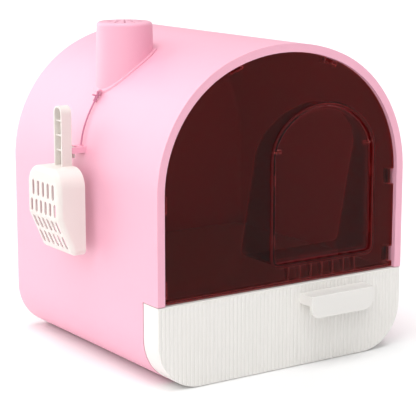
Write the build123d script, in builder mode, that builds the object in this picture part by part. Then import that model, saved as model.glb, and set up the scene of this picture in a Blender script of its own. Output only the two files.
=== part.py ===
from build123d import *
import os
from math import atan2, cos, degrees, radians, sin, sqrt, tan

# Drawer litter box. An arched one-piece shell stands on its flat underside. A tinted panel closes
# the front and carries the cat's entry, and a litter tray with a fluted front slides out below it.
# A vent chimney stands on the roof and a litter scoop hangs from a hook on the left wall.
# Frame: origin at the centre of the underside, +Z up, the front faces -Y, millimetres.
# "Back" values below are measured backwards from the rim plane, the foremost plane of the shell.

# ---------------------------------------------------------------- driving dimensions
# shell
shell_width = 400.0
shell_height = 434.6
shell_depth = 388.0
wall = 3.5
bottom_radius = 65.3        # lower corners of the arch section
crown_drop = 18.8           # the arch's rise is this much less than half its width
haunch_inset = 4.7          # arcs beside the crown, radius less than the rise
back_radius = 10.0
rim_width = 11.0            # front face of the rim
rim_thickness = 3.5
lip_wall = 2.5              # lip that turns back behind the rim
lip_length = 12.5
notch_gap = 1.0             # between the shell and the drawer front
runner_width = 8.0
runner_height = 2.2
runner_spacing = 200.0

# front panel
panel_thickness = 2.6
panel_recess = 6.0
panel_edge_gap = 0.4
panel_bottom_gap = 2.0      # above the drawer front
flange_depth = 9.0
flange_thickness = 2.4
flange_end_gap = 4.0
arm_width = 21.0            # snap arms along the panel's edge
arm_thickness = 2.2
arm_window = 5.6
arm_heights = [133.0, 242.0]
arm_crown_angle = 70.0      # the upper pair, up from the horizontal
barb_hold = 1.4             # how far a barb reaches behind the lip
barb_length = 3.0
barb_gap = 0.3
rib_count = 7
rib_pitch = 18.7
rib_thickness = 2.0
rib_depth_top = 10.0
rib_depth_bottom = 6.0

# entry
entry_x = 66.7              # the entry sits to the right of the middle
entry_width = 164.0
entry_sill = 143.0
entry_top = 349.0
entry_haunch = 54.0
entry_rise = 68.0           # from the spring of the entry's arch to its top
entry_corner = 8.0
frame_wall = 2.6
frame_band = 5.4            # width of the raised band
frame_raise = 2.2
frame_edge = 0.7
tunnel_low_depth = 78.8     # behind the rim plane, at the sill
tunnel_high_depth = 33.4    # behind the rim plane, at the top
cutout_gap = 0.3
lug_length = 14.0
lug_height = 1.4
lug_depth = 3.0
lug_heights = [175.0, 255.0]

# flap
flap_gap = 1.2
flap_thickness = 2.6
flap_recess = 5.0           # behind the front of the raised band
flap_axis_drop = 56.0       # pin axis below the top of the entry
flap_bead = 4.0
flap_bead_raise = 1.0
pin_radius = 1.5
pin_clearance = 0.05
pin_length = 10.0
hub_radius = 2.9

# drawer
drawer_height = 113.2
drawer_side_depth = 35.0
drawer_wall = 3.2
drawer_reveal = 0.6         # the drawer front is this much smaller than the shell all round
drawer_top_depth = 10.5
drawer_edge = 1.2
flute_pitch = 6.15
flute_width = 2.4
flute_depth = 0.7
flute_margin = 2.5
runner_gap = 0.3
tray_wall = 2.8
tray_height = 111.5
tray_front = 12.0
tray_corner = 26.0          # upright corners at the back
tray_front_corner = 8.0
tray_back_gap = 6.0
tray_lip = 5.0
tray_lip_thickness = 2.6

# drawer handle
handle_x = 77.0
handle_width = 106.0
handle_top = 101.0
handle_height = 31.0
handle_reach = 26.8
handle_arm = 14.0
handle_plate = 4.2
handle_corner = 14.0
handle_edge = 1.2

# screws
screw_radius = 1.6
screw_gap = 0.15
screw_head_radius = 3.4
screw_head_height = 2.0
screw_length = 11.0
pilot_length = 9.5
boss_radius = 4.5
front_screw_inset = 50.0    # from the shell's sides
front_screw_zs = [40.0, 95.0]
handle_screw_spacing = 70.0

# chimney
chimney_side = 78.3         # from the left side of the shell
chimney_y = 9.5             # behind the middle of the depth
chimney_top = 455.0
chimney_top_radius = 37.5
chimney_base_radius = 39.7
chimney_base_z = 366.0      # where the base radius is measured
chimney_wall = 2.8
chimney_edge = 5.0
collar_width = 3.2
collar_thickness = 1.8
roof_gap = 0.1
spigot_gap = 0.5
spigot_wall = 2.2
spigot_reach = 7.0
spigot_step = 6.0
eye_radius = 3.6            # eyelet at the foot of the chimney
eye_hole = 1.7
eye_thickness = 2.4
eye_lift = 5.4
eye_reach = 1.0
eye_side = 7.5              # in front of the chimney's axis

# vent cap and filter
cap_radius = 31.5
cap_gap = 0.3
cap_rim_height = 3.0
cap_rim_band = 2.5
cap_seat_width = 3.0
cap_crown = 2.0
cap_thickness = 2.4
slot_width = 2.6
outer_slots = 12
outer_slot_in = 16.0
outer_slot_out = 27.0
inner_slots = 6
inner_slot_in = 4.5
inner_slot_out = 13.0
cup_gap = 0.5               # cup inside the chimney's ledge
cup_flange = 1.4            # flange that hangs on the ledge, under the cap
cup_wall = 1.6
cup_depth = 32.0
cup_holes = 6
cup_hole_radius = 3.2
cup_hole_ring = 17.0
puck_gap = 0.6
puck_height = 12.0
puck_dimple_radius = 2.4
puck_dimple_depth = 3.0

# hook on the left wall
hook_y = 0.0                # centre line, at the middle of the depth
hook_z = 286.0              # underside of the arms
hook_height = 8.0
hook_arm = 3.0
hook_inner = 15.0
hook_stand = 16.0           # the arms' outer end, out from the shell's side
hook_bar = 3.9
hook_bar_height = 4.5
hook_base = 1.2
hook_flange = 1.5           # the base plate stands this far out around the arms
hook_block = 6.0            # block between the arms' roots, out from the middle of the wall
hook_screw_spacing = 8.0
hook_seat_in = 6.5          # flat seat of the screw heads, in from the shell's side
hook_screw_length = 9.0
hook_seat_gap = 0.4
cord_socket_radius = 2.4
cord_socket_length = 4.0
cord_seat_in = 1.7          # top of the cord's socket, in from the shell's side
cord_seat_side = 2.0        # in front of the hook's centre line
cord_seat_rise = 9.0        # above the underside of the arms

# scoop
scoop_gap = 0.6             # between the hook's bar and the scoop's back
scoop_width = 88.0
scoop_depth = 39.0
scoop_top = 270.5
scoop_knee = 206.0
scoop_tip = 155.0
scoop_tip_depth = 17.0
scoop_shoulder = 25.0
scoop_corner = 9.0
scoop_edge = 7.0
scoop_wall = 2.0
scoop_handle_top = 350.0
scoop_handle_width = 21.0
scoop_handle_depth = 15.0
scoop_handle_wall = 2.2
scoop_rib_depth = 10.0
scoop_rib_thickness = 2.0
scoop_rib_zs = [291.0, 310.5, 330.0]
tongue_width = 12.0
tongue_thickness = 2.4
tongue_drop = 14.5
tongue_gap = 0.4            # behind the hook's bar
hang_gap = 0.1              # between the tongue's web and the bar
tongue_web = 3.6
scoop_slot_width = 6.2
# each row: slots, pitch, height of the middle, length
scoop_slot_counts = [5, 6, 6, 6]
scoop_slot_pitches = [13.4, 12.6, 12.2, 12.2]
scoop_slot_zs = [240.5, 216.5, 194.0, 172.5]
scoop_slot_lengths = [21.0, 18.0, 17.0, 18.0]

# hanger cord, from the knot at the chimney's foot down to the hook's base
cord_diameter = 2.4
knot_length = 8.5
knot_radius = 2.7
loop_radius = 3.2
loop_wire = 1.1
knot_wraps = 3
wrap_share = 0.46           # a wrap's radius, of the step from wrap to wrap
knot_core = 1.9
tail_ways = [(-0.95, -0.15, 0.27), (-0.15, -0.5, 0.85)]
tail_length = 8.0
cord_bend_share = 0.45      # share of each run taken by a bend
cord_points = [
    (-174.2, 2.0, 351.3),
    (-181.9, 2.1, 338.3),
    (-189.2, 1.8, 323.0),
    (-195.0, 0.4, 307.1),
    (-198.3, -2.0, 295.0),
]

# ---------------------------------------------------------------- derived places
front = -shell_depth / 2
arch_rise = shell_width / 2 - crown_drop
spring_height = shell_height - arch_rise
haunch_radius = arch_rise - haunch_inset
inner_back = shell_depth / 2 - wall
haunch_x = shell_width / 2 - haunch_radius
below_crown = shell_height - haunch_radius
crown_z = (below_crown**2 - haunch_x**2 - spring_height**2) / (2 * (below_crown - spring_height))
crown_radius = shell_height - crown_z
haunch_turn = degrees(atan2(spring_height - crown_z, haunch_x))

notch_depth = drawer_side_depth + notch_gap
notch_height = drawer_height + notch_gap
panel_bottom = drawer_height + panel_bottom_gap
panel_inset = rim_width + panel_edge_gap
panel_back = panel_recess + panel_thickness
lip_end = rim_thickness + lip_length
band_front = panel_recess - frame_raise
flap_front = band_front + flap_recess
tray_gap = runner_height + runner_gap
front_screw_xs = [front_screw_inset - shell_width / 2, shell_width / 2 - front_screw_inset]
tray_inset = wall + tray_gap
tray_back = shell_depth - wall - tray_back_gap
flap_axis_z = entry_top - flap_axis_drop
flap_axis_back = flap_front + flap_thickness / 2
entry_spring = entry_top - entry_rise
entry_haunch_x = entry_width / 2 - entry_haunch
entry_below = entry_top - entry_haunch
entry_crown_z = (entry_below**2 - entry_haunch_x**2 - entry_spring**2) / (2 * (entry_below - entry_spring))
entry_crown = entry_top - entry_crown_z
entry_turn = degrees(atan2(entry_spring - entry_crown_z, entry_haunch_x))
chimney_x = chimney_side - shell_width / 2
hook_reach = shell_width / 2 + hook_stand
hook_seat = shell_width / 2 - hook_seat_in
scoop_back = -(hook_reach + scoop_gap)
seat_z = chimney_top - cap_rim_height - cup_flange
cap_outer = cap_radius - cap_gap
cap_inner = cap_outer - cap_rim_band
cup_radius = cap_radius - cap_seat_width - cup_gap
eye_x = chimney_x - chimney_base_radius - collar_width - eye_reach
eye_y = chimney_y - eye_side
eye_z = spring_height + sqrt(haunch_radius**2 - (eye_x + haunch_x) ** 2) + eye_lift
hook_screw_z = hook_z + hook_height / 2
hook_span = hook_inner + 2 * hook_arm
tongue_x = -(hook_reach - hook_bar - tongue_gap)
web_z = hook_z + hook_bar_height + hang_gap
spigot_hole = chimney_base_radius - chimney_wall - spigot_gap


def station(back):
    """Upright plane at a distance behind the rim plane."""
    return Plane.XZ.offset(-(front + back))


def arch_section(inset):
    """Outline of the shell, moved inwards by inset: a three-centred arch on rounded lower corners."""
    half = shell_width / 2 - inset
    corner_x = shell_width / 2 - bottom_radius
    with BuildSketch(Plane.XY) as section:
        with BuildLine():
            Line((-corner_x, inset), (corner_x, inset))
            CenterArc((corner_x, bottom_radius), bottom_radius - inset, -90, 90)
            Line((half, bottom_radius), (half, spring_height))
            CenterArc((haunch_x, spring_height), haunch_radius - inset, 0, haunch_turn)
            CenterArc((0, crown_z), crown_radius - inset, haunch_turn, 180 - 2 * haunch_turn)
            CenterArc((-haunch_x, spring_height), haunch_radius - inset, 180 - haunch_turn, haunch_turn)
            Line((-half, spring_height), (-half, bottom_radius))
            CenterArc((-corner_x, bottom_radius), bottom_radius - inset, 180, 90)
        make_face()
    return section.sketch


def entry_section(outset):
    """Outline of the entry, moved outwards by outset: a three-centred arch on small lower corners."""
    half = entry_width / 2 + outset
    corner_x = entry_width / 2 - entry_corner
    corner_z = entry_sill + entry_corner
    corner = entry_corner + outset
    haunch = entry_haunch + outset
    with BuildSketch(Plane.XY) as section:
        with BuildLine():
            Line((-corner_x, entry_sill - outset), (corner_x, entry_sill - outset))
            CenterArc((corner_x, corner_z), corner, -90, 90)
            Line((half, corner_z), (half, entry_spring))
            CenterArc((entry_haunch_x, entry_spring), haunch, 0, entry_turn)
            CenterArc((0, entry_crown_z), entry_crown + outset, entry_turn, 180 - 2 * entry_turn)
            CenterArc((-entry_haunch_x, entry_spring), haunch, 180 - entry_turn, entry_turn)
            Line((-half, entry_spring), (-half, corner_z))
            CenterArc((-corner_x, corner_z), corner, 180, 90)
        make_face()
    return section.sketch.moved(Location((entry_x, 0)))


def entry_half_width(height, outset):
    """Half the width of the entry's outline at a height beside its haunch arc."""
    return entry_haunch_x + sqrt((entry_haunch + outset) ** 2 - (height - entry_spring) ** 2)


def arch_layer(outer_inset, inner_inset):
    """Solid band of the shell's section between two insets, over the whole depth."""
    with BuildPart() as layer:
        with BuildSketch(station(0)):
            add(arch_section(outer_inset))
            add(arch_section(inner_inset), mode=Mode.SUBTRACT)
        extrude(amount=-shell_depth)
    return layer.part


def arch_solid(inset):
    """Solid of the shell's section at an inset, over the whole depth."""
    with BuildPart() as solid:
        with BuildSketch(station(0)):
            add(arch_section(inset))
        extrude(amount=-shell_depth)
    return solid.part


def save(piece, name):
    """Label a finished piece and write it."""
    piece.part.label = name
    export_step(piece.part, f"parts/{name}.step")


os.makedirs("parts", exist_ok=True)

# ---------------------------------------------------------------- shell
with BuildPart() as shell:
    with BuildSketch(station(0)):
        add(arch_section(0))
    extrude(amount=-shell_depth)
    fillet(shell.faces().sort_by(Axis.Y)[-1].edges(), back_radius)
    with BuildSketch(station(rim_thickness)):
        add(arch_section(wall))
    extrude(amount=-(shell_depth - rim_thickness - wall), mode=Mode.SUBTRACT)
    fillet(shell.faces().filter_by(Axis.Y).sort_by(Axis.Y)[-2].edges(), back_radius - wall)
    # the front face stays as a rim with a lip behind it
    with BuildSketch(station(0)):
        add(arch_section(rim_width))
    extrude(amount=-rim_thickness, mode=Mode.SUBTRACT)
    with BuildSketch(station(rim_thickness)):
        add(arch_section(rim_width - lip_wall))
        add(arch_section(rim_width), mode=Mode.SUBTRACT)
    extrude(amount=-lip_length)
    # the drawer front stands in the notch at the foot
    with BuildSketch(station(0)):
        Rectangle(shell_width, 2 * notch_height)
    extrude(amount=-notch_depth, mode=Mode.SUBTRACT)
    # two ribs on the floor carry the tray
    with BuildSketch(Plane.XY.offset(wall)):
        with Locations((0, (front + notch_depth + inner_back) / 2)):
            with GridLocations(runner_spacing, 0, 2, 1):
                Rectangle(runner_width, inner_back - front - notch_depth)
    extrude(amount=runner_height)
    # hole under the chimney
    with BuildSketch(Plane.XY.offset(spring_height)):
        with Locations((chimney_x, chimney_y)):
            Circle(spigot_hole)
    extrude(amount=shell_height - spring_height, mode=Mode.SUBTRACT)
    # holes behind the hook
    with BuildSketch(Plane.YZ):
        with Locations((hook_y, hook_screw_z)):
            with GridLocations(hook_screw_spacing, 0, 2, 1):
                Circle(screw_radius + screw_gap)
    extrude(amount=-shell_width / 2, mode=Mode.SUBTRACT)
    with BuildSketch(Plane.YZ.offset(-hook_seat)):
        with Locations((hook_y, hook_screw_z)):
            with GridLocations(hook_screw_spacing, 0, 2, 1):
                Circle(screw_head_radius + hook_seat_gap)
    extrude(amount=wall, mode=Mode.SUBTRACT)
save(shell, "shell")

# ---------------------------------------------------------------- front panel
panel_edge = shell_width / 2 - panel_inset
arm_places = [Location((panel_edge, height), 0) for height in arm_heights]
arm_places += [Location((-panel_edge, height), 180) for height in arm_heights]
for angle in (arm_crown_angle, 180 - arm_crown_angle):
    radius = crown_radius - panel_inset
    spot = (radius * cos(radians(angle)), crown_z + radius * sin(radians(angle)))
    arm_places.append(Location(spot, angle))

with BuildPart() as front_panel:
    with BuildSketch(station(panel_recess)):
        add(arch_section(panel_inset))
        Rectangle(shell_width, 2 * panel_bottom, mode=Mode.SUBTRACT)
        add(entry_section(frame_wall + cutout_gap), mode=Mode.SUBTRACT)
        with Locations(*arm_places):
            Rectangle(2 * arm_window, arm_width, mode=Mode.SUBTRACT)
    extrude(amount=-panel_thickness)
    # flange along the foot
    with BuildSketch(Plane.XY.offset(panel_bottom)):
        with Locations((0, front + panel_recess + (panel_thickness + flange_depth) / 2)):
            Rectangle(2 * (panel_edge - flange_end_gap), panel_thickness + flange_depth)
    extrude(amount=flange_thickness)
    # snap arms behind the windows, each with a barb that holds behind the shell's lip
    with BuildSketch(station(panel_recess)):
        with Locations(*arm_places):
            with Locations((-arm_window - arm_thickness / 2, 0)):
                Rectangle(arm_thickness, arm_width)
    extrude(amount=-(lip_end + barb_gap + barb_length - panel_recess))
    with BuildSketch(station(lip_end + barb_gap)):
        with Locations(*arm_places):
            with Locations((-arm_window / 2 + (panel_edge_gap + barb_hold) / 2, 0)):
                Rectangle(arm_window + panel_edge_gap + barb_hold, arm_width)
    extrude(amount=-barb_length)
    # ribs that stiffen the panel under the entry
    rib_top = entry_sill - frame_wall - cutout_gap
    for index in range(rib_count):
        rib_x = entry_x + (index - (rib_count - 1) / 2) * rib_pitch
        with BuildSketch(Plane.YZ.offset(rib_x - rib_thickness / 2)):
            with BuildLine():
                Polyline(
                    (front + panel_back, panel_bottom),
                    (front + panel_back, rib_top),
                    (front + panel_back + rib_depth_top, rib_top),
                    (front + panel_back + rib_depth_bottom, panel_bottom),
                    close=True,
                )
            make_face()
        extrude(amount=rib_thickness)
save(front_panel, "front_panel")

# ---------------------------------------------------------------- entry frame with its tunnel
tunnel_rise = entry_top - entry_sill
tunnel_lean = tunnel_low_depth - tunnel_high_depth
tunnel_end = Plane(
    origin=(entry_x, front + tunnel_low_depth, entry_sill),
    x_dir=(1, 0, 0),
    z_dir=(0, tunnel_rise, tunnel_lean),
)
with BuildPart() as entry_frame:
    with BuildSketch(station(band_front)):
        add(entry_section(frame_wall))
        add(entry_section(0), mode=Mode.SUBTRACT)
    extrude(amount=-(2 * tunnel_low_depth))
    split(bisect_by=tunnel_end, keep=Keep.BOTTOM)
    with BuildSketch(station(band_front)):
        add(entry_section(frame_band))
        add(entry_section(0), mode=Mode.SUBTRACT)
    extrude(amount=-frame_raise)
    fillet(entry_frame.faces().sort_by(Axis.Y)[0].edges(), frame_edge)
    # lugs snap in behind the panel
    with BuildSketch(station(panel_back + barb_gap)):
        for height in lug_heights:
            with Locations((entry_x, height)):
                with GridLocations(entry_width + 2 * frame_wall + lug_height, 0, 2, 1):
                    Rectangle(lug_height, lug_length)
    extrude(amount=-lug_depth)
    # holes for the flap's pins
    with BuildSketch(Plane.YZ.offset(entry_x)):
        with Locations((front + flap_axis_back, flap_axis_z)):
            Circle(pin_radius)
    extrude(amount=entry_width, both=True, mode=Mode.SUBTRACT)
save(entry_frame, "entry_frame")

# ---------------------------------------------------------------- flap and its pins
pin_outer = entry_half_width(flap_axis_z, frame_wall)
hub_outer = entry_half_width(flap_axis_z + hub_radius, -flap_gap)
hub_root = pin_outer - pin_length - flap_bead
with BuildPart() as entry_flap:
    with BuildSketch(station(flap_front)):
        add(entry_section(-flap_gap))
    extrude(amount=-flap_thickness)
    with BuildSketch(station(flap_front + flap_thickness)):
        add(entry_section(-flap_gap))
        add(entry_section(-flap_gap - flap_bead), mode=Mode.SUBTRACT)
    extrude(amount=-flap_bead_raise)
    for side in (-1, 1):
        with BuildSketch(Plane.YZ.offset(entry_x + side * hub_root)):
            with Locations((front + flap_axis_back, flap_axis_z)):
                Circle(hub_radius)
        extrude(amount=side * (hub_outer - hub_root))
        with BuildSketch(Plane.YZ.offset(entry_x + side * (pin_outer - pin_length - pin_clearance))):
            with Locations((front + flap_axis_back, flap_axis_z)):
                Circle(pin_radius + pin_clearance)
        extrude(amount=side * (pin_length + frame_wall), mode=Mode.SUBTRACT)
save(entry_flap, "entry_flap")

with BuildPart() as flap_pins:
    for side in (-1, 1):
        with BuildSketch(Plane.YZ.offset(entry_x + side * (pin_outer - pin_length))):
            with Locations((front + flap_axis_back, flap_axis_z)):
                Circle(pin_radius)
        extrude(amount=side * pin_length)
save(flap_pins, "flap_pins")

# ---------------------------------------------------------------- drawer front
handle_screw_z = handle_top - handle_arm / 2
with BuildPart() as drawer_front:
    with BuildSketch(station(0)):
        add(arch_section(drawer_reveal))
        with Locations((0, drawer_height)):
            Rectangle(shell_width, shell_height * 2, align=(Align.CENTER, Align.MIN), mode=Mode.SUBTRACT)
    extrude(amount=-drawer_side_depth)
    # hollow behind, open above the tray's rim
    with BuildSketch(station(drawer_wall)):
        add(arch_section(drawer_reveal + drawer_wall))
        with Locations((0, drawer_height - drawer_wall)):
            Rectangle(shell_width, shell_height * 2, align=(Align.CENTER, Align.MIN), mode=Mode.SUBTRACT)
    extrude(amount=-drawer_side_depth, mode=Mode.SUBTRACT)
    with BuildSketch(station(drawer_top_depth)):
        with Locations((0, drawer_height)):
            Rectangle(shell_width - 2 * (drawer_reveal + drawer_wall), 2 * drawer_wall)
    extrude(amount=-drawer_side_depth, mode=Mode.SUBTRACT)
    fillet(drawer_front.faces().sort_by(Axis.Y)[0].edges(), drawer_edge)
    # upright flutes over the whole face
    flute_count = int((shell_width - 2 * drawer_reveal - flute_width) / flute_pitch)
    with BuildSketch(Plane.XY):
        with Locations((0, front)):
            with GridLocations(flute_pitch, 0, flute_count, 1):
                Polygon((-flute_width / 2, 0), (flute_width / 2, 0), (0, flute_depth), align=None)
    extrude(amount=drawer_height - flute_margin, mode=Mode.SUBTRACT)
    # bosses that the tray is screwed to
    with BuildSketch(station(drawer_wall)):
        for z in front_screw_zs:
            with Locations((front_screw_xs[0], z), (front_screw_xs[1], z)):
                Circle(boss_radius)
    extrude(amount=-(tray_front - drawer_wall))
    with BuildSketch(station(tray_front)):
        for z in front_screw_zs:
            with Locations((front_screw_xs[0], z), (front_screw_xs[1], z)):
                Circle(screw_radius + screw_gap)
    extrude(amount=pilot_length, mode=Mode.SUBTRACT)
    with BuildSketch(station(drawer_wall)):
        with Locations((handle_x, handle_screw_z)):
            with GridLocations(handle_screw_spacing, 0, 2, 1):
                Circle(screw_radius + screw_gap)
    extrude(amount=drawer_wall, mode=Mode.SUBTRACT)
save(drawer_front, "drawer_front")


# ---------------------------------------------------------------- litter tray
def tray_block(inset, top):
    """Solid of the tray's outline, moved inwards by inset and cut level at top."""
    with BuildPart() as block:
        with BuildSketch(station(tray_front + inset)):
            add(arch_section(tray_inset + inset))
            with Locations((0, top)):
                Rectangle(shell_width, 2 * shell_height, align=(Align.CENTER, Align.MIN), mode=Mode.SUBTRACT)
        extrude(amount=-(tray_back - tray_front - 2 * inset))
        back_edges = block.faces().sort_by(Axis.Y)[-1].edges().sort_by(Axis.Z)[:-1]
        fillet(back_edges, tray_corner - inset)
        front_edges = block.faces().sort_by(Axis.Y)[0].edges().sort_by(Axis.Z)[:-1]
        fillet(front_edges, tray_front_corner - inset)
    return block.part


with BuildPart() as litter_tray:
    add(tray_block(0, tray_height))
    add(tray_block(tray_wall, tray_height - tray_lip_thickness), mode=Mode.SUBTRACT)
    add(tray_block(tray_lip, tray_height), mode=Mode.SUBTRACT)
    with BuildSketch(station(tray_front)):
        for z in front_screw_zs:
            with Locations((front_screw_xs[0], z), (front_screw_xs[1], z)):
                Circle(screw_radius + screw_gap)
    extrude(amount=-tray_wall, mode=Mode.SUBTRACT)
save(litter_tray, "litter_tray")

with BuildPart() as front_screws:
    with BuildSketch(station(tray_front + tray_wall)):
        for z in front_screw_zs:
            with Locations((front_screw_xs[0], z), (front_screw_xs[1], z)):
                Circle(screw_head_radius)
    extrude(amount=-screw_head_height)
    with BuildSketch(station(tray_front + tray_wall)):
        for z in front_screw_zs:
            with Locations((front_screw_xs[0], z), (front_screw_xs[1], z)):
                Circle(screw_radius)
    extrude(amount=screw_length)
save(front_screws, "front_screws")

# ---------------------------------------------------------------- drawer handle
with BuildPart() as drawer_handle:
    with BuildSketch(Plane.YZ.offset(handle_x - handle_width / 2)):
        with BuildLine():
            Polyline(
                (front, handle_top),
                (front - handle_reach, handle_top),
                (front - handle_reach, handle_top - handle_height),
                (front - handle_reach + handle_plate, handle_top - handle_height),
                (front - handle_reach + handle_plate, handle_top - handle_arm),
                (front, handle_top - handle_arm),
                close=True,
            )
        make_face()
    extrude(amount=handle_width)
    fillet(drawer_handle.edges().filter_by(Axis.Y).group_by(Axis.Z)[0], handle_corner)
    fillet(drawer_handle.faces().sort_by(Axis.Y)[0].edges(), handle_edge)
    # hollow from behind, with a boss for each screw
    with BuildSketch(station(0)):
        with Locations((handle_x, handle_screw_z)):
            Rectangle(handle_width - 2 * drawer_wall, handle_arm - 2 * drawer_wall)
            with GridLocations(handle_screw_spacing, 0, 2, 1):
                Circle(boss_radius, mode=Mode.SUBTRACT)
    extrude(amount=handle_reach - handle_plate, mode=Mode.SUBTRACT)
    with BuildSketch(station(0)):
        with Locations((handle_x, handle_screw_z)):
            with GridLocations(handle_screw_spacing, 0, 2, 1):
                Circle(screw_radius + screw_gap)
    extrude(amount=pilot_length, mode=Mode.SUBTRACT)
save(drawer_handle, "drawer_handle")

with BuildPart() as handle_screws:
    with BuildSketch(station(drawer_wall)):
        with Locations((handle_x, handle_screw_z)):
            with GridLocations(handle_screw_spacing, 0, 2, 1):
                Circle(screw_head_radius)
    extrude(amount=-screw_head_height)
    with BuildSketch(station(drawer_wall)):
        with Locations((handle_x, handle_screw_z)):
            with GridLocations(handle_screw_spacing, 0, 2, 1):
                Circle(screw_radius)
    extrude(amount=screw_length)
save(handle_screws, "handle_screws")


# ---------------------------------------------------------------- chimney
def chimney_radius(height):
    """Outer radius of the tapered chimney at a height."""
    taper = (chimney_top_radius - chimney_base_radius) / (chimney_top - chimney_base_z)
    return chimney_base_radius + (height - chimney_base_z) * taper


def roof_ring(inner, outer, top_inset, bottom_inset):
    """Ring round the chimney's axis that follows the curve of the roof."""
    with BuildPart() as ring:
        with BuildSketch(Plane.XY.offset(spring_height)):
            with Locations((chimney_x, chimney_y)):
                Circle(outer)
                Circle(inner, mode=Mode.SUBTRACT)
        extrude(amount=shell_height - spring_height)
        add(arch_layer(top_inset, bottom_inset), mode=Mode.INTERSECT)
    return ring.part


chimney_plane = Plane(origin=(chimney_x, chimney_y, 0), x_dir=(1, 0, 0), z_dir=(0, -1, 0))
chimney_axis = Axis((chimney_x, chimney_y, 0), (0, 0, 1))
chimney_foot = spring_height + haunch_radius / 2
spigot_outer = spigot_hole - spigot_gap
with BuildPart() as chimney:
    with BuildSketch(chimney_plane):
        with BuildLine():
            Polyline(
                (chimney_radius(chimney_foot), chimney_foot),
                (chimney_top_radius, chimney_top),
                (cap_radius, chimney_top),
                (cap_radius, seat_z),
                (cap_radius - cap_seat_width, seat_z),
                (cap_radius - cap_seat_width, seat_z - cap_seat_width),
                (chimney_radius(seat_z) - chimney_wall, seat_z - 2 * cap_seat_width),
                (chimney_radius(chimney_foot) - chimney_wall, chimney_foot),
                close=True,
            )
        make_face()
    revolve(axis=chimney_axis)
    top_circles = chimney.edges().filter_by(GeomType.CIRCLE).group_by(Axis.Z)[-1]
    fillet(top_circles.sort_by(SortBy.LENGTH)[-1], chimney_edge)
    # eyelet for the hanger cord
    with BuildSketch(Plane.XZ.offset(-eye_y)):
        with Locations((eye_x, eye_z)):
            Circle(eye_radius)
        web_end = chimney_x - chimney_base_radius + chimney_wall / 2
        with Locations(((eye_x + web_end) / 2, eye_z - eye_radius / 2)):
            Rectangle(web_end - eye_x, 2 * eye_radius)
    extrude(amount=eye_thickness / 2, both=True)
    with BuildSketch(Plane.XZ.offset(-eye_y)):
        with Locations((eye_x, eye_z)):
            Circle(eye_hole)
    extrude(amount=eye_thickness, both=True, mode=Mode.SUBTRACT)
    # the foot is cut to the roof, with a collar outside and a push-fit spigot inside
    add(arch_solid(-roof_gap), mode=Mode.SUBTRACT)
    collar_outer = chimney_base_radius + collar_width
    spigot_inner = spigot_outer - spigot_wall
    mid_wall = chimney_base_radius - chimney_wall / 2
    add(roof_ring(mid_wall, collar_outer, -roof_gap - collar_thickness, -roof_gap))
    add(roof_ring(spigot_inner, mid_wall, -spigot_step, -roof_gap))
    add(roof_ring(spigot_inner, spigot_outer, -spigot_step, wall + spigot_reach))
save(chimney, "chimney")

# ---------------------------------------------------------------- vent cap
dome_radius = (cap_outer**2 + cap_crown**2) / (2 * cap_crown)
dome_edge = chimney_top - cap_gap
dome_centre = dome_edge + cap_crown - dome_radius
cap_seat = seat_z + cup_flange
with BuildPart() as vent_cap:
    with BuildSketch(chimney_plane):
        with Locations((0, dome_centre)):
            Circle(dome_radius)
            Circle(dome_radius - cap_thickness, mode=Mode.SUBTRACT)
        with Locations((0, cap_seat)):
            Rectangle(cap_outer, cap_rim_height + cap_crown, align=(Align.MIN, Align.MIN), mode=Mode.INTERSECT)
        with Locations((cap_inner, cap_seat)):
            Rectangle(cap_rim_band, dome_edge - cap_seat, align=(Align.MIN, Align.MIN))
    revolve(axis=chimney_axis)
    with BuildSketch(Plane.XY.offset(cap_seat)):
        with Locations((chimney_x, chimney_y)):
            with PolarLocations((outer_slot_in + outer_slot_out) / 2, outer_slots):
                SlotOverall(outer_slot_out - outer_slot_in, slot_width)
            with PolarLocations((inner_slot_in + inner_slot_out) / 2, inner_slots):
                SlotOverall(inner_slot_out - inner_slot_in, slot_width)
    extrude(amount=cap_rim_height + cap_crown, mode=Mode.SUBTRACT)
save(vent_cap, "vent_cap")

# ---------------------------------------------------------------- filter cup and carbon puck
cup_floor = seat_z - cup_depth
with BuildPart() as filter_cup:
    with BuildSketch(Plane.XY.offset(cup_floor)):
        with Locations((chimney_x, chimney_y)):
            Circle(cup_radius)
    extrude(amount=cup_depth)
    with BuildSketch(Plane.XY.offset(seat_z)):
        with Locations((chimney_x, chimney_y)):
            Circle(cap_outer)
    extrude(amount=cup_flange)
    with BuildSketch(Plane.XY.offset(cup_floor + cup_wall)):
        with Locations((chimney_x, chimney_y)):
            Circle(cup_radius - cup_wall)
    extrude(amount=cup_depth + cup_flange, mode=Mode.SUBTRACT)
    with BuildSketch(Plane.XY.offset(cup_floor)):
        with Locations((chimney_x, chimney_y)):
            with PolarLocations(cup_hole_ring, cup_holes):
                Circle(cup_hole_radius)
            with PolarLocations(cup_hole_ring / 2, cup_holes // 2):
                Circle(cup_hole_radius)
    extrude(amount=cup_wall, mode=Mode.SUBTRACT)
save(filter_cup, "filter_cup")

with BuildPart() as carbon_filter:
    with BuildSketch(Plane.XY.offset(cup_floor + cup_wall)):
        with Locations((chimney_x, chimney_y)):
            Circle(cup_radius - cup_wall - puck_gap)
    extrude(amount=puck_height)
    with BuildSketch(Plane.XY.offset(cup_floor + cup_wall + puck_height)):
        with Locations((chimney_x, chimney_y)):
            with PolarLocations(cup_hole_ring, cup_holes):
                Circle(puck_dimple_radius)
            with PolarLocations(cup_hole_ring / 2, cup_holes // 2):
                Circle(puck_dimple_radius)
    extrude(amount=-puck_dimple_depth, mode=Mode.SUBTRACT)
save(carbon_filter, "carbon_filter")

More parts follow.
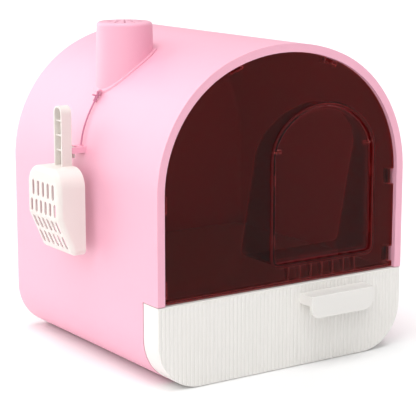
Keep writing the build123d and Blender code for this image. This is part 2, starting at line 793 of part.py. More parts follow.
# ---------------------------------------------------------------- hook on the left wall
cord_start = Vector(*cord_points[0])
cord_end = Vector(*cord_points[-1])
first_run = (Vector(*cord_points[1]) - cord_start).normalized()
last_run = (cord_end - Vector(*cord_points[-2])).normalized()
cord_seat = Vector(cord_seat_in - shell_width / 2, hook_y - cord_seat_side, hook_z + cord_seat_rise)
screw_end = hook_seat + hook_screw_length

with BuildPart() as hook_base_plate:
    with BuildSketch(Plane.YZ):
        with Locations((hook_y, hook_screw_z)):
            RectangleRounded(hook_span + 2 * hook_flange, hook_height + 2 * hook_flange, hook_arm)
    extrude(amount=-shell_width)
    add(arch_layer(-roof_gap - hook_base, -roof_gap), mode=Mode.INTERSECT)

with BuildPart() as hook_bracket:
    # two arms, tied at their outer ends by the bar that carries the scoop
    with BuildSketch(Plane.YZ.offset(-hook_reach)):
        with Locations((hook_y, hook_z + hook_height / 2)):
            with GridLocations(hook_inner + hook_arm, 0, 2, 1):
                Rectangle(hook_arm, hook_height)
    extrude(amount=hook_reach)
    with BuildSketch(Plane.YZ.offset(-hook_reach)):
        with Locations((hook_y, hook_z + hook_bar_height / 2)):
            Rectangle(hook_inner + hook_arm, hook_bar_height)
    extrude(amount=hook_bar)
    # block between the roots for the screws, and a socket for the cord's lower end
    with BuildSketch(Plane.YZ.offset(-shell_width / 2 - hook_block + wall / 2)):
        with Locations((hook_y, hook_screw_z)):
            Rectangle(hook_inner + hook_arm, hook_height)
    extrude(amount=hook_block + wall)
    with BuildSketch(Plane(origin=cord_seat, z_dir=last_run)):
        Circle(cord_socket_radius)
    extrude(amount=cord_socket_length)
    add(arch_solid(-roof_gap), mode=Mode.SUBTRACT)
    add(hook_base_plate.part)
    with BuildSketch(Plane.YZ.offset(-screw_end - screw_gap)):
        with Locations((hook_y, hook_screw_z)):
            with GridLocations(hook_screw_spacing, 0, 2, 1):
                Circle(screw_radius + screw_gap)
    extrude(amount=screw_end, mode=Mode.SUBTRACT)
save(hook_bracket, "hook_bracket")

with BuildPart() as hook_screws:
    with BuildSketch(Plane.YZ.offset(-hook_seat)):
        with Locations((hook_y, hook_screw_z)):
            with GridLocations(hook_screw_spacing, 0, 2, 1):
                Circle(screw_head_radius)
    extrude(amount=screw_head_height)
    with BuildSketch(Plane.YZ.offset(-hook_seat)):
        with Locations((hook_y, hook_screw_z)):
            with GridLocations(hook_screw_spacing, 0, 2, 1):
                Circle(screw_radius)
    extrude(amount=-hook_screw_length)
save(hook_screws, "hook_screws")

# ---------------------------------------------------------------- hanger cord and its knot
with BuildPart() as hanger_cord:
    runs = [(Vector(*b) - Vector(*a)) for a, b in zip(cord_points, cord_points[1:])]
    cord_radii = []
    for before, after in zip(runs, runs[1:]):
        turn = radians(before.get_angle(after))
        cord_radii.append(cord_bend_share * min(before.length, after.length) / tan(turn / 2))
    with BuildLine():
        FilletPolyline(*cord_points, radius=cord_radii)
    with BuildSketch(Plane(origin=cord_start, z_dir=first_run)):
        Circle(cord_diameter / 2)
    sweep()
    print("cord radii", [round(radius, 1) for radius in cord_radii])
save(hanger_cord, "hanger_cord")

eye = Vector(eye_x, eye_y, eye_z)
knot_start = cord_start - first_run * knot_length
loop_way = (knot_start - eye).normalized()
loop_plane = Plane(origin=eye + loop_way * loop_radius, z_dir=first_run.cross(Vector(0, 1, 0)))
wrap_pitch = knot_length / knot_wraps
wrap_radius = wrap_share * wrap_pitch
with BuildPart() as cord_knot:
    with Locations(loop_plane):
        Torus(loop_radius, loop_wire)
    with BuildSketch(Plane(origin=knot_start, x_dir=first_run, z_dir=loop_plane.z_dir)):
        Rectangle(knot_length, knot_core, align=(Align.MIN, Align.MIN))
        with Locations((knot_length / 2, knot_radius - wrap_radius)):
            with GridLocations(wrap_pitch, 0, knot_wraps, 1):
                Circle(wrap_radius)
    revolve(axis=Axis(knot_start, first_run))
    for tail_way in tail_ways:
        with BuildSketch(Plane(origin=knot_start, z_dir=tail_way)):
            Circle(loop_wire)
        extrude(amount=tail_length)
save(cord_knot, "cord_knot")


# ---------------------------------------------------------------- scoop
def scoop_bowl(inset):
    """Solid of the scoop's bowl moved inwards by inset, open side on the plane of its back."""
    height = scoop_top - scoop_tip - 2 * inset
    middle = (scoop_top + scoop_tip) / 2
    with BuildPart() as bowl:
        with BuildSketch(Plane.YZ.offset(scoop_back)):
            with Locations((hook_y, middle)):
                RectangleRounded(scoop_width - 2 * inset, height, scoop_corner - inset)
            with Locations((hook_y, scoop_top - scoop_shoulder)):
                Rectangle(scoop_width, scoop_shoulder, align=(Align.CENTER, Align.MIN), mode=Mode.SUBTRACT)
                with GridLocations(scoop_width - 2 * scoop_shoulder, 0, 2, 1):
                    Circle(scoop_shoulder - inset)
                Rectangle(
                    scoop_width - 2 * scoop_shoulder,
                    scoop_shoulder - inset,
                    align=(Align.CENTER, Align.MIN),
                )
        extrude(amount=-scoop_depth)
        with BuildSketch(Plane.XZ.offset(-hook_y)):
            with BuildLine():
                Polyline(
                    (scoop_back, scoop_top),
                    (scoop_back - scoop_depth + inset, scoop_top),
                    (scoop_back - scoop_depth + inset, scoop_knee),
                    (scoop_back - scoop_tip_depth + inset, scoop_tip),
                    (scoop_back, scoop_tip),
                    close=True,
                )
            make_face()
        extrude(amount=scoop_width, both=True, mode=Mode.INTERSECT)
        outer_faces = bowl.faces().filter_by(lambda face: face.normal_at().X < -0.5)
        rims = outer_faces.edges()
        fillet(rims, scoop_edge - inset)
    return bowl.part


with BuildPart() as scoop:
    add(scoop_bowl(0))
    add(scoop_bowl(scoop_wall), mode=Mode.SUBTRACT)
    for count, pitch, middle, length in zip(
        scoop_slot_counts, scoop_slot_pitches, scoop_slot_zs, scoop_slot_lengths
    ):
        with BuildSketch(Plane.YZ.offset(scoop_back - scoop_depth)):
            with Locations((hook_y, middle)):
                with GridLocations(pitch, 0, count, 1):
                    SlotOverall(length, scoop_slot_width, rotation=90)
        extrude(amount=scoop_depth - scoop_wall, mode=Mode.SUBTRACT)
    # handle: a channel open outwards, with a round top and ribs across it
    handle_crown = scoop_handle_top - scoop_handle_width / 2
    with BuildSketch(Plane.YZ.offset(scoop_back)):
        with Locations((hook_y, handle_crown)):
            Circle(scoop_handle_width / 2)
            Rectangle(scoop_handle_width, handle_crown - scoop_top + scoop_wall, align=(Align.CENTER, Align.MAX))
    extrude(amount=-scoop_handle_depth)
    channel_half = scoop_handle_width / 2 - scoop_handle_wall
    with BuildSketch(Plane.YZ.offset(scoop_back - scoop_handle_wall)):
        with Locations((hook_y, handle_crown)):
            Circle(channel_half)
            Rectangle(2 * channel_half, handle_crown - scoop_top, align=(Align.CENTER, Align.MAX))
    extrude(amount=-scoop_handle_depth, mode=Mode.SUBTRACT)
    with BuildSketch(Plane.YZ.offset(scoop_back - scoop_handle_wall)):
        for z in scoop_rib_zs:
            with Locations((hook_y, z)):
                Rectangle(2 * channel_half, scoop_rib_thickness)
    extrude(amount=-scoop_rib_depth)
    # tongue that drops behind the hook's bar
    with BuildSketch(Plane.XZ.offset(-hook_y)):
        with BuildLine():
            Polyline(
                (scoop_back, web_z),
                (tongue_x, web_z),
                (tongue_x, web_z + tongue_web - tongue_drop),
                (tongue_x + tongue_thickness, web_z + tongue_web - tongue_drop),
                (tongue_x + tongue_thickness, web_z + tongue_web),
                (scoop_back, web_z + tongue_web),
                close=True,
            )
        make_face()
    extrude(amount=tongue_width / 2, both=True)
save(scoop, "scoop")
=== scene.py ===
# %% [markdown]
# # Drawer litter box
# The object is an arched pink cabin with a tinted front, a pull-out tray with a fluted front, a
# vent chimney on the roof and a litter scoop on a hook. Its solids come from the CAD model, which
# is the fixed frame of this scene. This notebook gives every piece its finish, lays the hanger
# cord as a soft curve, and sets up a small studio around it.

# %% Load the frame
import math

import bpy
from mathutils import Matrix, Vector


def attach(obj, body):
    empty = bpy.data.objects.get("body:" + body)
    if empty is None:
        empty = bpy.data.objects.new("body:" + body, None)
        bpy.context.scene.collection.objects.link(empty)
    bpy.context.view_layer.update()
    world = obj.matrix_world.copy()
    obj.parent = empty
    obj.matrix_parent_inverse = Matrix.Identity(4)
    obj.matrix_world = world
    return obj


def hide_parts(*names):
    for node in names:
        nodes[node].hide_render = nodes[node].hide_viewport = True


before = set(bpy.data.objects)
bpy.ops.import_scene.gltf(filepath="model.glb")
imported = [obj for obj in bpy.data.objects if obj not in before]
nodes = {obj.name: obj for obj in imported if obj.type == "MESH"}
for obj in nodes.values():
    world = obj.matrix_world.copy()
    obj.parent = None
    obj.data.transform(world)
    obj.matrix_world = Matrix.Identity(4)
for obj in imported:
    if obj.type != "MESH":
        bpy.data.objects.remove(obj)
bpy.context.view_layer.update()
print("nodes:", len(nodes))

# %% [markdown]
# ## The camera
# The photograph looks down at the front left corner from eye height, through a long lens, so the
# upright edges stay nearly parallel. A long focal length far away gives that look. Moving a short
# lens closer would spread the arch too much.

# %% Camera
CAMERA_PLACE = Vector((-1.1887, -1.7618, 0.6215))
CAMERA_TURN = math.radians(34.176)
CAMERA_DIP = math.radians(11.562)
CAMERA_LENS = 132.55
SENSOR_WIDTH = 36.0

camera_data = bpy.data.cameras.new("camera")
camera_data.lens = CAMERA_LENS
camera_data.sensor_width = SENSOR_WIDTH
camera = bpy.data.objects.new("camera", camera_data)
camera.location = CAMERA_PLACE
camera.rotation_euler = (math.pi / 2 - CAMERA_DIP, 0.0, -CAMERA_TURN)
bpy.context.scene.collection.objects.link(camera)
bpy.context.scene.camera = camera
print("camera looks from", [round(value, 3) for value in camera.location])

# %% [markdown]
# ## The hanger cord
# A thin pink cord runs from a knot at the chimney's foot down to the hook. It could be a chain of
# small straight tubes, but a cord has no corners, so one NURBS curve with a round bevel is used.
# Its control points are the route that the CAD tube follows, so the two lie in the same place.
# Blender counts each point's radius in the curve's box, so the points carry the cord's radius and
# the bevel is one metre deep, which multiplies to the same tube.

# %% Lay the cord
CORD_ROUTE = [
    (-0.1742, 0.0020, 0.3513),
    (-0.1819, 0.0021, 0.3383),
    (-0.1892, 0.0018, 0.3230),
    (-0.1950, 0.0004, 0.3071),
    (-0.1983, -0.0020, 0.2950),
]
CORD_DIAMETER = 0.0024

cord_curve = bpy.data.curves.new("hanger_cord_soft", "CURVE")
cord_curve.dimensions = "3D"
cord_spline = cord_curve.splines.new("NURBS")
cord_spline.points.add(len(CORD_ROUTE) - 1)
for point, place in zip(cord_spline.points, CORD_ROUTE):
    point.co = (*place, 1.0)
    point.radius = CORD_DIAMETER / 2
cord_spline.order_u = 3
cord_spline.use_endpoint_u = True
cord_spline.resolution_u = 16
cord_curve.bevel_depth = 1.0
cord_curve.bevel_resolution = 4
cord_curve.use_fill_caps = True
cord = bpy.data.objects.new("hanger_cord_soft", cord_curve)
bpy.context.scene.collection.objects.link(cord)
cord_length = sum(
    (Vector(b) - Vector(a)).length for a, b in zip(CORD_ROUTE, CORD_ROUTE[1:])
)
print("cord, along its route:", round(cord_length, 4), "m")

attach(cord, "cabin")
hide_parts("hanger_cord")

# %% [markdown]
# ## Shared effects
# Every finish is a small network of shader nodes. Effects that several finishes share are node
# groups, like functions: they take a few values in and give a colour, a roughness or a height out.
# All of them read the object's own coordinates, so they stay put when a body moves.


# %% Node helpers
def new_group(name, inputs, outputs):
    """Start a node group and return its tree, its input node and its output node."""
    tree = bpy.data.node_groups.new(name, "ShaderNodeTree")
    for label, kind, value in inputs:
        socket = tree.interface.new_socket(label, in_out="INPUT", socket_type=kind)
        socket.default_value = value
    for label, kind in outputs:
        tree.interface.new_socket(label, in_out="OUTPUT", socket_type=kind)
    return tree, tree.nodes.new("NodeGroupInput"), tree.nodes.new("NodeGroupOutput")


def add_node(tree, kind, inputs=None, **settings):
    """Add a node, set its properties and fill or link its inputs by name or number."""
    node = tree.nodes.new(kind)
    for name, value in settings.items():
        setattr(node, name, value)
    for name, value in (inputs or {}).items():
        socket = node.inputs[name]
        if isinstance(value, bpy.types.NodeSocket):
            tree.links.new(value, socket)
        else:
            socket.default_value = value
    return node


def math_node(tree, operation, first, second=0.0, clamp=False):
    """Add a math node and return its result."""
    node = add_node(tree, "ShaderNodeMath", {0: first, 1: second}, operation=operation)
    node.use_clamp = clamp
    return node.outputs[0]


def mix_colour(tree, factor, first, second, blend_type="MIX"):
    """Mix two colours and return the result."""
    node = tree.nodes.new("ShaderNodeMix")
    node.data_type = "RGBA"
    node.blend_type = blend_type
    for name, value in (("Factor_Float", factor), ("A_Color", first), ("B_Color", second)):
        socket = next(one for one in node.inputs if one.identifier == name)
        if isinstance(value, bpy.types.NodeSocket):
            tree.links.new(value, socket)
        else:
            socket.default_value = value
    return next(one for one in node.outputs if one.identifier == "Result_Color")


def object_place(tree):
    """The point being shaded, in the object's own metres."""
    return tree.nodes.new("ShaderNodeTexCoord").outputs["Object"]


print("helpers ready")

# %% [markdown]
# ### Moulded plastic
# Injection moulded plastic isn't one flat colour. The melt flows and cools unevenly, which leaves
# faint clouds in its tone, and the steel of the mould leaves a fine grain. Two noises, one wide
# and one fine, give both.


# %% Moulded plastic group
def build_moulded_group():
    tree, given, result = new_group(
        "moulded plastic",
        [
            ("Colour", "NodeSocketColor", (0.8, 0.8, 0.8, 1.0)),
            ("Cloud Colour", "NodeSocketColor", (0.7, 0.7, 0.7, 1.0)),
            ("Clouds", "NodeSocketFloat", 0.3),
            ("Cloud Scale", "NodeSocketFloat", 9.0),
            ("Grain Scale", "NodeSocketFloat", 900.0),
            ("Roughness", "NodeSocketFloat", 0.4),
            ("Roughness Spread", "NodeSocketFloat", 0.1),
        ],
        [
            ("Colour", "NodeSocketColor"),
            ("Roughness", "NodeSocketFloat"),
            ("Height", "NodeSocketFloat"),
        ],
    )
    place = object_place(tree)
    clouds = add_node(
        tree,
        "ShaderNodeTexNoise",
        {"Vector": place, "Scale": given.outputs["Cloud Scale"], "Detail": 4.0, "Roughness": 0.55},
    )
    grain = add_node(
        tree,
        "ShaderNodeTexNoise",
        {"Vector": place, "Scale": given.outputs["Grain Scale"], "Detail": 2.0},
    )
    amount = math_node(tree, "MULTIPLY", clouds.outputs["Fac"], given.outputs["Clouds"], clamp=True)
    colour = mix_colour(tree, amount, given.outputs["Colour"], given.outputs["Cloud Colour"])
    centred = math_node(tree, "SUBTRACT", clouds.outputs["Fac"], 0.5)
    swing = math_node(tree, "MULTIPLY", centred, given.outputs["Roughness Spread"])
    roughness = math_node(tree, "ADD", given.outputs["Roughness"], swing, clamp=True)
    tree.links.new(colour, result.inputs["Colour"])
    tree.links.new(roughness, result.inputs["Roughness"])
    tree.links.new(grain.outputs["Fac"], result.inputs["Height"])
    return tree


moulded_group = build_moulded_group()
print("group:", moulded_group.name)

# %% [markdown]
# ### Edges: wear and painted light
# Hands and claws polish the corners of a plastic piece a little paler, and that paler edge is
# also a painted highlight. The Bevel node rounds the shading normal near an edge, so where it
# differs from the true normal there is an edge. That gives a mask without a painted texture. With a
# darker colour the same mask paints shade into grooves, and on the tinted plastic it paints the
# glow of cut edges.


# %% Edge group
EDGE_GAIN = 4.0


def build_edge_group():
    tree, given, result = new_group(
        "edge wear and painted light",
        [
            ("Colour", "NodeSocketColor", (0.8, 0.8, 0.8, 1.0)),
            ("Edge Colour", "NodeSocketColor", (1.0, 1.0, 1.0, 1.0)),
            ("Radius", "NodeSocketFloat", 0.0015),
            ("Strength", "NodeSocketFloat", 0.5),
        ],
        [("Colour", "NodeSocketColor")],
    )
    true_normal = tree.nodes.new("ShaderNodeNewGeometry").outputs["Normal"]
    rounded = add_node(tree, "ShaderNodeBevel", {"Radius": given.outputs["Radius"]}, samples=4)
    alike = add_node(
        tree,
        "ShaderNodeVectorMath",
        {0: true_normal, 1: rounded.outputs["Normal"]},
        operation="DOT_PRODUCT",
    )
    apart = math_node(tree, "SUBTRACT", 1.0, alike.outputs["Value"], clamp=True)
    stretched = math_node(tree, "MULTIPLY", apart, EDGE_GAIN, clamp=True)
    mask = math_node(tree, "MULTIPLY", stretched, given.outputs["Strength"], clamp=True)
    colour = mix_colour(tree, mask, given.outputs["Colour"], given.outputs["Edge Colour"])
    tree.links.new(colour, result.inputs["Colour"])
    return tree


edge_group = build_edge_group()
print("group:", edge_group.name)

# %% [markdown]
# ### Handling marks
# Glossy plastic shows faint wipe marks. A noise stretched along one direction looks like them. It
# only moves the roughness, so the marks show in reflections and nowhere else.


# %% Wipe mark group
WIPE_TURN = (0.3, 0.5, 0.4)
WIPE_STRETCH = (1.0, 9.0, 3.0)
WIPE_FAINTEST = 0.55
WIPE_CLEAREST = 0.72


def build_wipe_group():
    tree, given, result = new_group(
        "wipe marks",
        [
            ("Roughness", "NodeSocketFloat", 0.4),
            ("Scale", "NodeSocketFloat", 30.0),
            ("Strength", "NodeSocketFloat", 0.1),
        ],
        [("Roughness", "NodeSocketFloat")],
    )
    stretched = add_node(
        tree,
        "ShaderNodeMapping",
        {"Vector": object_place(tree), "Rotation": WIPE_TURN, "Scale": WIPE_STRETCH},
    )
    marks = add_node(
        tree,
        "ShaderNodeTexNoise",
        {"Vector": stretched.outputs[0], "Scale": given.outputs["Scale"], "Detail": 3.0},
    )
    thin = add_node(
        tree,
        "ShaderNodeMapRange",
        {"Value": marks.outputs["Fac"], "From Min": WIPE_FAINTEST, "From Max": WIPE_CLEAREST},
    )
    mask = math_node(tree, "MULTIPLY", thin.outputs["Result"], given.outputs["Strength"])
    roughness = math_node(tree, "ADD", given.outputs["Roughness"], mask, clamp=True)
    tree.links.new(roughness, result.inputs["Roughness"])
    return tree


wipe_group = build_wipe_group()
print("group:", wipe_group.name)

# %% [markdown]
# ### Helpers for materials
# Every material starts as a Principled shader alone. One helper starts it, one places a node group
# in it, and one puts it on the CAD pieces. Pieces are found by name, because the order of objects
# in a file can change.


# %% Material helpers
def new_material(name):
    """Start a material and return it with its tree and its Principled shader."""
    material = bpy.data.materials.new(name)
    material.use_nodes = True
    tree = material.node_tree
    return material, tree, tree.nodes["Principled BSDF"]


def add_group(tree, group, **inputs):
    """Place a node group and fill or link its inputs, with spaces written as underscores."""
    node = tree.nodes.new("ShaderNodeGroup")
    node.node_tree = group
    for name, value in inputs.items():
        socket = node.inputs[name.replace("_", " ")]
        if isinstance(value, bpy.types.NodeSocket):
            tree.links.new(value, socket)
        else:
            socket.default_value = value
    return node


def dress(node_names, material):
    """Put a material on every slot of the named CAD nodes."""
    for name in node_names:
        for slot in nodes[name].material_slots:
            slot.material = material
    print(material.name, "on", ", ".join(node_names))


# %% [markdown]
# ## Opaque plastics
# The cabin, chimney and hook are pink and satin. The tray's front, the pull and the scoop are
# white. They share one recipe: moulded clouds, paler edges that are a little wear and a painted
# highlight, wipe marks, then the Principled shader with a thin bump from the grain. Only their
# values differ. The fluted drawer front gets a darker colour from the edge mask, which is painted
# shade in its grooves and along its edges. The cabin gets a rough coat as well, which spreads the
# soft sheen of such plastic wider than one layer does.


# %% Opaque plastic
CLOUD_AMOUNT = 0.3
GRAIN_SCALE = 900.0
GRAIN_DEPTH = 0.00002
GRAIN_STRENGTH = 0.4
PLASTIC_IOR = 1.49
COAT_ROUGHNESS = 0.6


def plastic(name, colour, cloud_colour, edge_colour, roughness, edge=0.35, coat=0.0):
    material, tree, shader = new_material(name)
    moulded = add_group(
        tree,
        moulded_group,
        Colour=(*colour, 1.0),
        Cloud_Colour=(*cloud_colour, 1.0),
        Clouds=CLOUD_AMOUNT,
        Grain_Scale=GRAIN_SCALE,
        Roughness=roughness,
    )
    edges = add_group(
        tree,
        edge_group,
        Colour=moulded.outputs["Colour"],
        Edge_Colour=(*edge_colour, 1.0),
        Strength=edge,
    )
    marks = add_group(tree, wipe_group, Roughness=moulded.outputs["Roughness"])
    relief = add_node(
        tree,
        "ShaderNodeBump",
        {
            "Height": moulded.outputs["Height"],
            "Distance": GRAIN_DEPTH,
            "Strength": GRAIN_STRENGTH,
        },
    )
    tree.links.new(edges.outputs["Colour"], shader.inputs["Base Color"])
    tree.links.new(marks.outputs["Roughness"], shader.inputs["Roughness"])
    tree.links.new(relief.outputs["Normal"], shader.inputs["Normal"])
    shader.inputs["IOR"].default_value = PLASTIC_IOR
    shader.inputs["Coat Weight"].default_value = coat
    shader.inputs["Coat Roughness"].default_value = COAT_ROUGHNESS
    return material


pink = plastic(
    "pink_plastic",
    colour=(0.87, 0.42, 0.545),
    cloud_colour=(0.84, 0.39, 0.515),
    edge_colour=(0.93, 0.53, 0.64),
    roughness=0.5,
    coat=1.0,
)
front_white = plastic(
    "white_front_plastic",
    colour=(0.83, 0.81, 0.78),
    cloud_colour=(0.79, 0.77, 0.74),
    # The darker edge colour is painted shade in the flute grooves and along the outer edges.
    edge_colour=(0.62, 0.59, 0.55),
    roughness=0.45,
    edge=0.7,
)
pull_white = plastic(
    "white_pull_plastic",
    colour=(0.81, 0.79, 0.76),
    cloud_colour=(0.77, 0.75, 0.72),
    # The paler edge colour is a little wear and a painted highlight on the pull's rounded edges.
    edge_colour=(0.90, 0.89, 0.88),
    roughness=0.42,
)
tray_white = plastic(
    "tray_plastic",
    colour=(0.80, 0.79, 0.78),
    cloud_colour=(0.76, 0.75, 0.74),
    edge_colour=(0.88, 0.88, 0.87),
    roughness=0.5,
)
scoop_white = plastic(
    "scoop_plastic",
    colour=(0.79, 0.74, 0.70),
    cloud_colour=(0.75, 0.70, 0.66),
    edge_colour=(0.88, 0.85, 0.82),
    roughness=0.45,
)
cup_white = plastic(
    "basket_plastic",
    colour=(0.78, 0.78, 0.78),
    cloud_colour=(0.74, 0.74, 0.74),
    edge_colour=(0.86, 0.86, 0.86),
    roughness=0.5,
)
dress(["shell", "chimney", "vent_cap", "hook_bracket"], pink)
dress(["drawer_front"], front_white)
dress(["drawer_handle"], pull_white)
dress(["litter_tray"], tray_white)
dress(["scoop"], scoop_white)
dress(["filter_cup"], cup_white)

# %% [markdown]
# ## Tinted plastic
# The front is dark red-brown see-through plastic. Light passes it once going in and once coming
# out, so the cabin behind it looks deep and red. Transmission in the Principled shader does this
# and gives clear reflections. Its base colour is the tint of one pass. The refractive index is set
# lower than that of real plastic, because the white studio mirrored in it would turn the dark
# panel grey. A clear sheet also pipes light along inside itself and lets it out at its edges,
# which is why cut edges of such plastic glow. A path tracer seldom finds those paths, so the edge
# mask gives the edges a faint red light of their own.


# %% Tinted plastic
PIPED_LIGHT = (0.20, 0.042, 0.046)
PIPED_RADIUS = 0.0014
PAINTED_EDGE_GLOW_TINT = (0.95, 0.42, 0.42)
EDGE_TINT_RADIUS = 0.0012
DEEPER = 0.9
TINTED_ROUGHNESS = 0.04
TINTED_IOR = 1.18


def tinted(name, tint):
    material, tree, shader = new_material(name)
    deeper = tuple(DEEPER * value for value in tint)
    moulded = add_group(
        tree,
        moulded_group,
        Colour=(*tint, 1.0),
        Cloud_Colour=(*deeper, 1.0),
        Clouds=0.5,
        Roughness=TINTED_ROUGHNESS,
        Roughness_Spread=0.03,
    )
    marks = add_group(
        tree, wipe_group, Roughness=moulded.outputs["Roughness"], Scale=14.0, Strength=0.04
    )
    # The paler tint at the edges is painted light as well: it brightens the cut edges like the
    # piped glow.
    edges = add_group(
        tree,
        edge_group,
        Colour=moulded.outputs["Colour"],
        Edge_Colour=(*PAINTED_EDGE_GLOW_TINT, 1.0),
        Radius=EDGE_TINT_RADIUS,
        Strength=0.8,
    )
    piped = add_group(
        tree,
        edge_group,
        Colour=(0.0, 0.0, 0.0, 1.0),
        Edge_Colour=(*PIPED_LIGHT, 1.0),
        Radius=PIPED_RADIUS,
        Strength=1.0,
    )
    tree.links.new(piped.outputs["Colour"], shader.inputs["Emission Color"])
    tree.links.new(edges.outputs["Colour"], shader.inputs["Base Color"])
    tree.links.new(marks.outputs["Roughness"], shader.inputs["Roughness"])
    shader.inputs["Emission Strength"].default_value = 1.0
    shader.inputs["Metallic"].default_value = 0.0
    shader.inputs["Transmission Weight"].default_value = 1.0
    shader.inputs["IOR"].default_value = TINTED_IOR
    return material


panel_tint = tinted("tinted_panel_plastic", (0.50, 0.145, 0.12))
frame_tint = tinted("tinted_frame_plastic", (0.46, 0.13, 0.115))
flap_tint = tinted("tinted_flap_plastic", (0.52, 0.17, 0.15))
dress(["front_panel"], panel_tint)
dress(["entry_frame"], frame_tint)
dress(["entry_flap"], flap_tint)

# %% [markdown]
# ## Steel
# The screws and hinge pins are drawn steel with fine turning marks. Metal has no colour under its
# reflection, so the marks are a fine noise in its tone and its roughness.


# %% Steel
STEEL_DARK = (0.52, 0.52, 0.53, 1.0)
STEEL_PALE = (0.68, 0.68, 0.69, 1.0)


def steel():
    material, tree, shader = new_material("drawn_steel")
    turning = add_node(
        tree,
        "ShaderNodeTexNoise",
        {"Vector": object_place(tree), "Scale": 1500.0, "Detail": 3.0},
    )
    tone = mix_colour(tree, turning.outputs["Fac"], STEEL_DARK, STEEL_PALE)
    rough = add_node(
        tree, "ShaderNodeMapRange", {"Value": turning.outputs["Fac"], "To Min": 0.25, "To Max": 0.4}
    )
    tree.links.new(tone, shader.inputs["Base Color"])
    tree.links.new(rough.outputs["Result"], shader.inputs["Roughness"])
    shader.inputs["Metallic"].default_value = 1.0
    return material


dress(["flap_pins", "front_screws", "handle_screws", "hook_screws"], steel())

# %% [markdown]
# ## Carbon
# The puck is pressed from black grains. A noise would look like smoke, so the cells of a Voronoi
# texture are used, which look like grains. Their distance gives both the tone and the bump.


# %% Carbon
CARBON_DARK = (0.012, 0.012, 0.012, 1.0)
CARBON_PALE = (0.05, 0.05, 0.05, 1.0)


def carbon():
    material, tree, shader = new_material("carbon_grains")
    grains = add_node(
        tree, "ShaderNodeTexVoronoi", {"Vector": object_place(tree), "Scale": 500.0}
    )
    tone = mix_colour(tree, grains.outputs["Distance"], CARBON_DARK, CARBON_PALE)
    relief = add_node(
        tree, "ShaderNodeBump", {"Height": grains.outputs["Distance"], "Distance": 0.001}
    )
    tree.links.new(tone, shader.inputs["Base Color"])
    tree.links.new(relief.outputs["Normal"], shader.inputs["Normal"])
    shader.inputs["Roughness"].default_value = 0.8
    return material


dress(["carbon_filter"], carbon())

# %% [markdown]
# ## Cord
# The cord is twisted from strands. A wave texture set on the diagonal winds around it, in its tone
# and its bump; its tone is darker where the bump is low, which is painted shade between the
# strands. A fine noise frays its fibres. A little sheen gives the fuzz of thread.


# %% Cord
STRAND_GROOVE_SHADE = (0.40, 0.09, 0.19, 1.0)
STRAND_PALE = (0.68, 0.23, 0.38, 1.0)
FIBRE_COLOUR = (0.76, 0.32, 0.47, 1.0)


def twisted_cord():
    material, tree, shader = new_material("twisted_cord")
    place = object_place(tree)
    strands = add_node(
        tree,
        "ShaderNodeTexWave",
        {"Vector": place, "Scale": 260.0, "Distortion": 1.5},
        bands_direction="DIAGONAL",
    )
    fibres = add_node(tree, "ShaderNodeTexNoise", {"Vector": place, "Scale": 2500.0, "Detail": 3.0})
    # Darker where the strands dip: painted shade between them.
    tone = mix_colour(tree, strands.outputs["Fac"], STRAND_GROOVE_SHADE, STRAND_PALE)
    worn = mix_colour(tree, fibres.outputs["Fac"], tone, FIBRE_COLOUR)
    relief = add_node(
        tree, "ShaderNodeBump", {"Height": strands.outputs["Fac"], "Distance": 0.0004}
    )
    tree.links.new(worn, shader.inputs["Base Color"])
    tree.links.new(relief.outputs["Normal"], shader.inputs["Normal"])
    shader.inputs["Roughness"].default_value = 0.75
    shader.inputs["Sheen Weight"].default_value = 0.3
    return material


cord_finish = twisted_cord()
cord_curve.materials.append(cord_finish)
dress(["cord_knot"], cord_finish)

# %% [markdown]
# ## The floor
# The photograph has a white floor with no visible end and a soft contact shadow. A curved backdrop
# would do, but one very wide flat sheet under even light looks the same and is simpler.

# %% Floor
FLOOR_HALF = 30.0
FLOOR_COLOUR = (0.90, 0.90, 0.90, 1.0)
FLOOR_ROUGHNESS = 0.9

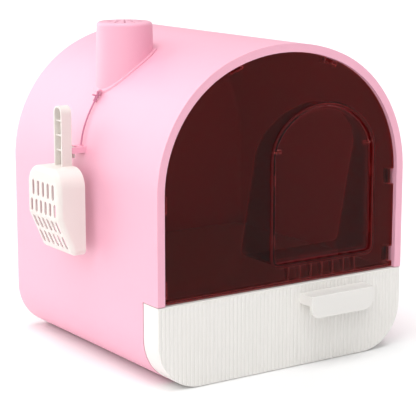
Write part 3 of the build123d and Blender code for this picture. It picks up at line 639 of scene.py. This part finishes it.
floor_corners = [
    (-FLOOR_HALF, -FLOOR_HALF, 0),
    (FLOOR_HALF, -FLOOR_HALF, 0),
    (FLOOR_HALF, FLOOR_HALF, 0),
    (-FLOOR_HALF, FLOOR_HALF, 0),
]
floor_mesh = bpy.data.meshes.new("floor")
floor_mesh.from_pydata(floor_corners, [], [(0, 1, 2, 3)])
floor = bpy.data.objects.new("floor", floor_mesh)
bpy.context.scene.collection.objects.link(floor)
floor_material, floor_tree, floor_shader = new_material("pale_floor")
floor_shader.inputs["Base Color"].default_value = FLOOR_COLOUR
floor_shader.inputs["Roughness"].default_value = FLOOR_ROUGHNESS
floor_mesh.materials.append(floor_material)
print("floor:", 2 * FLOOR_HALF, "m wide")

# %% [markdown]
# ## The lights
# The photograph has no dark surroundings. Its left side is the brightest and its right side the
# darkest. A sun lamp lights the whole floor evenly, and a wide angle keeps its shadow soft. One
# sun comes from the upper left and one from straight above, to keep the floor white. A large soft
# panel behind the left side gives its long pale sheen, a little warm so the pink doesn't turn
# blue.


# %% Lights
def area_light(name, place, target, size, power, colour):
    data = bpy.data.lights.new(name, "AREA")
    data.size = size
    data.energy = power
    data.color = colour
    light = bpy.data.objects.new(name, data)
    light.location = place
    way = Vector(target) - Vector(place)
    light.rotation_euler = way.to_track_quat("-Z", "Y").to_euler()
    bpy.context.scene.collection.objects.link(light)
    return light


def sun_light(name, way_from, strength, spread):
    data = bpy.data.lights.new(name, "SUN")
    data.energy = strength
    data.angle = math.radians(spread)
    light = bpy.data.objects.new(name, data)
    light.rotation_euler = (-Vector(way_from)).to_track_quat("-Z", "Y").to_euler()
    bpy.context.scene.collection.objects.link(light)
    return light


sun_light("key", way_from=(-0.60, -0.40, 0.70), strength=1.35, spread=60.0)
sun_light("top", way_from=(0.0, 0.0, 1.0), strength=1.5, spread=50.0)
area_light(
    "sheen",
    place=(-3.4, 6.0, 2.6),
    target=(0, 0, 0.2),
    size=7.5,
    power=330.0,
    colour=(1.0, 0.96, 0.94),
)

WORLD_COLOUR = (1.0, 1.0, 1.0, 1.0)
WORLD_STRENGTH = 0.45

world = bpy.data.worlds.new("studio")
world.use_nodes = True
background = world.node_tree.nodes["Background"]
background.inputs["Color"].default_value = WORLD_COLOUR
background.inputs["Strength"].default_value = WORLD_STRENGTH
bpy.context.scene.world = world
bpy.context.scene.view_settings.view_transform = "Standard"
print("lights:", [one.name for one in bpy.data.lights])
